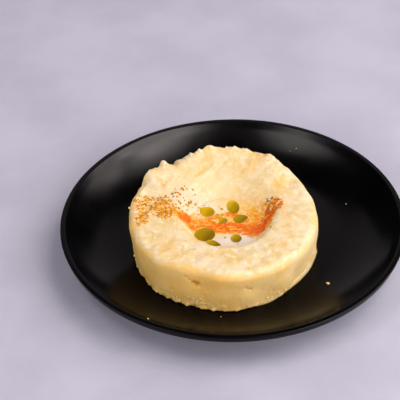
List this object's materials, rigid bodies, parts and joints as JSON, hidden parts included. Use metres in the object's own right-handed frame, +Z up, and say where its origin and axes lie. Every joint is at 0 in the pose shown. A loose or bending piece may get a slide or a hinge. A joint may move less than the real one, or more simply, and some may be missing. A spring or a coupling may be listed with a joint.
{
  "type": "mashed potato side",
  "caption": "Moulded round of mashed potato on a black coupe plate, with cream, paprika and drops of oil in a spooned well in its top.",
  "frame": {"origin": "centre of the plate's foot ring, on the surface that it stands on", "axes": "+Z up; -Y towards the diner, the low smooth side of the mash; +X to the right"},
  "size_m": [0.18, 0.18, 0.0357],
  "materials": {
    "plate": "satin-gloss black melamine",
    "mash": "moist, smooth pressed potato, grainy on the side",
    "cream": "wet and smooth, stained orange by paprika",
    "oil": "clear olive-yellow oil, wet gloss"
  },
  "bodies": {
    "root": {"plate": "plate", "mash": "mash", "cream_pool": "cream", "oil_drop_large": "oil", "oil_drop_sliver": "oil", "oil_drop_tear": "oil", "oil_drop_back": "oil", "oil_drop_right": "oil", "oil_drop_front": "oil", "oil_drop_small": "oil"}
  },
  "joints": []
}
